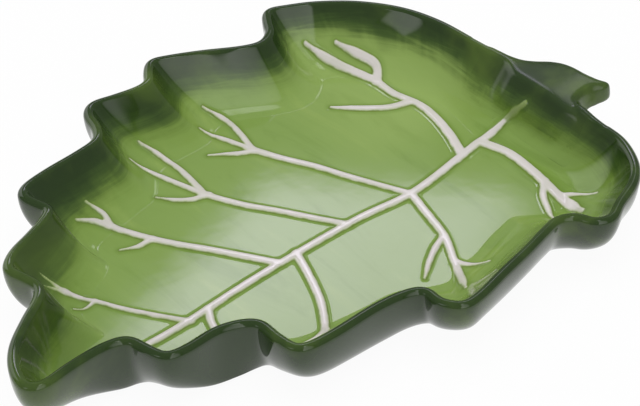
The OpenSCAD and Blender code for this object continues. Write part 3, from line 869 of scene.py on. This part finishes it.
def stem_piece():
    """The stem, with the wall and the lip round its root as far as it reaches into them."""
    # The skin dips under the body where the stem's reach ends, and closes at the grid's sides
    reach = stem_reach(STEM.points).reshape(STEM.shape)
    values = STEM.values + (0.5 * (1 - reach) + 3 * smooth(1 - 2 * reach))
    values[[0, -1]] = 1.0
    values[:, [0, -1]] = 1.0
    values[:, :, [0, -1]] = 1.0
    pts, quads = STEM.skin(values)
    # Each point takes its colour from the nearest point of the body
    corners = np.column_stack((xy, z))
    tree = wall_tree()
    nearest = []
    for p in pts:
        face = np.array(near_stem[tree.find_nearest(Vector(p))[2]])
        nearest.append(face[np.argmin(((corners[face] - p) ** 2).sum(1))])
    nearest = np.array(nearest)
    turn, way = THETA[nearest % PLACES], inward[nearest]
    shade = darkness(turn, way) - STEM_DARKER * fade(pts[:, 0], 264, 278)
    no_vein = np.full(len(pts), VEIN_FAR)
    ob = add_mesh("stem_glazed", place(pts[:, :2], pts[:, 2]), quads.tolist(),
                  paint(turn, way, shade, no_vein), STEM_GLAZE)
    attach(ob, "root")
    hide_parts("stem")


stem_piece()

# A vein's relief: the grid's pitch, its margin round the vein, and its depth into the floor
RELIEF_PITCH, RELIEF_MARGIN, RELIEF_DEPTH = 0.5, 7, 1.2
# How far it reaches from the vein's edge, how far into the midrib, and how near to the lip's top
RELIEF_REACH, MIDRIB_OVERLAP, LIP_CLEAR = 5.4, 1.2, 4.2
# How far it lies under the bare floor, how much more at its rim, and how much more for a side vein
RELIEF_SINK, RIM_SINK, SIDE_SINK = 0.03, 0.25, 0.02
# How much darker the glaze is for each millimetre that the stem's root stands out
ROOT_DARKER = 0.9


def vein_piece(name):
    """A vein as a fine relief on the basin, closed underneath inside the floor."""
    pts = np.concatenate([b[0] for b in BRANCHES[name]])
    lo, hi = pts.min(0) - RELIEF_MARGIN, pts.max(0) + RELIEF_MARGIN
    steps = [np.arange(a, b, RELIEF_PITCH) for a, b in zip(lo, hi)]
    shape = tuple(len(s) for s in steps)
    q = np.stack(np.meshgrid(*steps, indexing="ij"), -1).reshape(-1, 2)
    own = vein_distance(q, [name])
    keep = own < RELIEF_REACH
    if name != "midrib":
        keep &= vein_distance(q, ["midrib"]) > -MIDRIB_OVERLAP
    kept = np.nonzero(keep)[0]
    base, way, turn = basin(q[kept])
    clear = way > LIP_CLEAR
    kept, base, way, turn = kept[clear], base[clear], way[clear], turn[clear]
    index = np.full(len(q), -1)
    index[kept] = np.arange(len(kept))
    q, own = q[kept], own[kept]
    every = vein_distance(q, BRANCHES)
    # The relief fades out up the wall and sinks into the floor at its rim
    rise = relief(every) * fade(way, 5, 11) - RELIEF_SINK - RIM_SINK * fade(own, 2.6, 4.2)
    if name != "midrib":
        rise = rise - SIDE_SINK
    seat = settle(q, base, raised=name == "midrib")
    shade = darkness(turn, way) - ROOT_DARKER * np.maximum(seat - base, 0)
    # Quads of the top, the same ones turned over for the bottom, and sides along the open edges
    grid = index.reshape(shape)
    a, b, c, d = grid[:-1, :-1], grid[1:, :-1], grid[1:, 1:], grid[:-1, 1:]
    full = (a >= 0) & (b >= 0) & (c >= 0) & (d >= 0)
    quads = np.stack((a[full], b[full], c[full], d[full]), 1)
    below = len(q)
    edges = {}
    for quad in quads.tolist():
        for e in zip(quad, quad[1:] + quad[:1]):
            if e[::-1] in edges:
                del edges[e[::-1]]
            else:
                edges[e] = True
    faces = quads.tolist() + (quads[:, ::-1] + below).tolist()
    faces += [[e[1], e[0], e[0] + below, e[1] + below] for e in edges]
    used = np.unique(quads)
    remap = np.full(2 * below, -1)
    remap[used] = np.arange(len(used))
    remap[used + below] = np.arange(len(used)) + len(used)
    faces = [[int(remap[i]) for i in face] for face in faces]

    def twice(v):
        """The used points' values, for the top and again for the bottom."""
        return np.concatenate((v[used], v[used]))

    verts = np.concatenate((place(q, seat + rise)[used], place(q, seat - RELIEF_DEPTH)[used]))
    ob = add_mesh(name + "_relief", verts, faces,
                  paint(twice(turn), twice(way), twice(shade), twice(every)), GLAZE)
    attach(ob, "root")
    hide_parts(name)


for name in BRANCHES:
    vein_piece(name)

# The foot ring's rounding, and how far it reaches into the body
FOOT_R, FOOT_INTO = 0.8, 0.3


def foot():
    """Unglazed ring with softly rounded edges."""
    inwards = unit(spine_point(BASE) - BASE)
    outer, inner, top = FOOT_INSET, FOOT_INSET + FOOT_W, FOOT_H + FOOT_INTO
    turns = [(math.sin(a), math.cos(a)) for a in np.linspace(0, math.pi / 2, 6)]
    profile = [(outer, top), (outer, FOOT_R)]
    profile += [(outer + FOOT_R * (1 - c), FOOT_R * (1 - s)) for s, c in turns[1:]]
    profile += [(inner - FOOT_R * (1 - s), FOOT_R * (1 - c)) for s, c in turns]
    profile += [(inner, top)]
    verts = np.concatenate([place(BASE + d * inwards, np.full(PLACES, h)) for d, h in profile])
    j = np.arange(PLACES)
    k = (j + 1) % PLACES
    faces = []
    for i in range(len(profile)):
        one, two = i * PLACES, (i + 1) % len(profile) * PLACES
        faces += np.column_stack((one + j, two + j, two + k, one + k)).tolist()
    ob = add_mesh("foot_ring_clay", verts, faces, {}, CLAY)
    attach(ob, "root")
    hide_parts("foot_ring")


foot()

# Floor and background, white where the camera or the glaze sees them
floor_mesh = bpy.data.meshes.new("floor")
floor_mesh.from_pydata([(-6, -6, 0), (6, -6, 0), (6, 6, 0), (-6, 6, 0)], [], [(0, 1, 2, 3)])
floor = bpy.data.objects.new("floor", floor_mesh)
bpy.context.scene.collection.objects.link(floor)
f = Nodes("floor_white")
diffuse = f.add("ShaderNodeBsdfDiffuse")
diffuse.inputs["Color"].default_value = (0.9, 0.9, 0.9, 1)
glow = f.add("ShaderNodeEmission")
glow.inputs["Strength"].default_value = 1.0
rays = f.add("ShaderNodeLightPath")
seen = f.math("ADD", rays.outputs["Is Camera Ray"], rays.outputs["Is Glossy Ray"], clamp=True)
seen = f.math("ADD", seen, rays.outputs["Is Transmission Ray"], clamp=True)
shader = f.add("ShaderNodeMixShader")
f.link(f.times(seen, 0.95), shader.inputs[0])
f.link(diffuse.outputs[0], shader.inputs[1])
f.link(glow.outputs[0], shader.inputs[2])
f.link(shader.outputs[0], f.out.inputs["Surface"])
floor.data.materials.append(f.mat)

world = bpy.data.worlds.new("studio")
bpy.context.scene.world = world
world.use_nodes = True
background = world.node_tree.nodes["Background"]
background.inputs["Color"].default_value = (1, 1, 1, 1)
background.inputs["Strength"].default_value = ROOM

# Camera at the photo's angle, in degrees and metres
AZ, EL, DIST = math.radians(-42), math.radians(40), 0.886
AIM = Vector((0.0155, -0.00305, 0.0121))
cam = bpy.data.objects.new("camera", bpy.data.cameras.new("camera"))
bpy.context.scene.collection.objects.link(cam)
back = Vector((math.sin(AZ) * math.cos(EL), -math.cos(AZ) * math.cos(EL), math.sin(EL)))
cam.location = AIM + DIST * back
cam.rotation_euler = (AIM - cam.location).to_track_quat("-Z", "Y").to_euler()
cam.data.lens, cam.data.sensor_width = 120, 36
bpy.context.scene.camera = cam


def aim(azimuth, elevation):
    """The direction at an azimuth and elevation in degrees, seen from the plate.

    Azimuth 0 is behind the plate as the camera sees it, 90 is to the right and 180 is behind the camera.
    """
    a, e = AZ - math.radians(azimuth), math.radians(elevation)
    return np.array((-math.sin(a) * math.cos(e), math.cos(a) * math.cos(e), math.sin(e)))


# How far off the lamp panels are in metres, and the steps along a side
PANEL_FAR, PANEL_STEPS = 8.0, 16
WHITE = (1, 1, 1)
# Each panel's corners along the lower side and back along the upper one, the radiance at each corner,
# the shares over which its sides fade, from the lower one on the same way round, and its colour
PANELS = {
    "right_panel": ([(168, 8), (128, 12), (104, 66), (143, 74)],
                    [2.3, 0.9, 0.7, 1.7], [0.05, 0.25, 0.05, 0.04], WHITE),
    "right_edge_panel": ([(166, 30), (159, 30), (136, 68), (147, 70)],
                         [0.6, 0.6, 3.0, 3.0], [0.2, 0.5, 0.1, 0.2], WHITE),
    "top_panel": ([(143, 71), (104, 73), (52, 74), (35, 79)],
                  [3.6, 1.4, 1.4, 3.0], [0.1, 0.25, 0.3, 0.05], WHITE),
    "back_panel": ([(-2.0, 38.7), (10.0, 38.9), (9.5, 44.6), (-11.0, 44.6)],
                   [5.0, 4.2, 3.4, 5.4], [0.16, 0.3, 0.1, 0.12], (1.0, 0.9, 1.17)),
    "back_side_panel": ([(12, 33), (19, 33), (19, 44), (11.5, 44)],
                        [2.0, 1.8, 2.6, 2.8], [0.25, 0.2, 0.12, 0.15], WHITE),
    "left_panel": ([(-138, 23), (-117, 24), (-131, 41), (-155, 42)],
                   [1.8, 2.0, 1.8, 1.6], [0.1, 0.1, 0.2, 0.1], WHITE),
    "left_back_panel": ([(-80, 2), (-14, 2), (-18, 34), (-76, 50)],
                        [0.9, 1.2, 1.6, 1.8], [0.1, 0.25, 0.25, 0.25], WHITE),
}


def panel(name, corners, glow, fades, tint):
    """A lamp panel that the glaze mirrors and the camera doesn't see."""
    p = [PANEL_FAR * aim(*c) for c in corners]
    verts, light = [], []
    for i, j in itertools.product(range(PANEL_STEPS + 1), repeat=2):
        s, t = i / PANEL_STEPS, j / PANEL_STEPS
        share = ((1 - s) * (1 - t), s * (1 - t), s * t, (1 - s) * t)
        verts.append(sum(w * q for w, q in zip(share, p)))
        sides = [smooth(d / width) for d, width in zip((t, 1 - s, 1 - t, s), fades)]
        light.append(sum(w * g for w, g in zip(share, glow)) * float(np.prod(sides)))
    faces = []
    for i, j in itertools.product(range(PANEL_STEPS), repeat=2):
        one = i * (PANEL_STEPS + 1) + j
        two = one + PANEL_STEPS + 1
        faces.append((one, two, two + 1, one + 1))
    n = Nodes(name)
    emission = n.add("ShaderNodeEmission")
    emission.inputs["Color"].default_value = (*tint, 1)
    n.link(n.attribute("glow"), emission.inputs["Strength"])
    n.link(emission.outputs[0], n.out.inputs["Surface"])
    ob = add_mesh(name, verts, faces, {"glow": light}, n.mat)
    ob.visible_camera = False


for name, settings in PANELS.items():
    panel(name, *settings)

# Soft fill from above, which the glaze doesn't mirror
fill = bpy.data.lights.new("fill", "AREA")
fill.shape, fill.size = "DISK", 2.4
fill.energy = FILL * math.pi * math.pi * (fill.size / 2) ** 2
fill_lamp = bpy.data.objects.new("fill", fill)
bpy.context.scene.collection.objects.link(fill_lamp)
fill_lamp.location = (0, 0, 2.2)
fill_lamp.visible_camera = fill_lamp.visible_glossy = False

bpy.context.scene.view_settings.view_transform = "Standard"
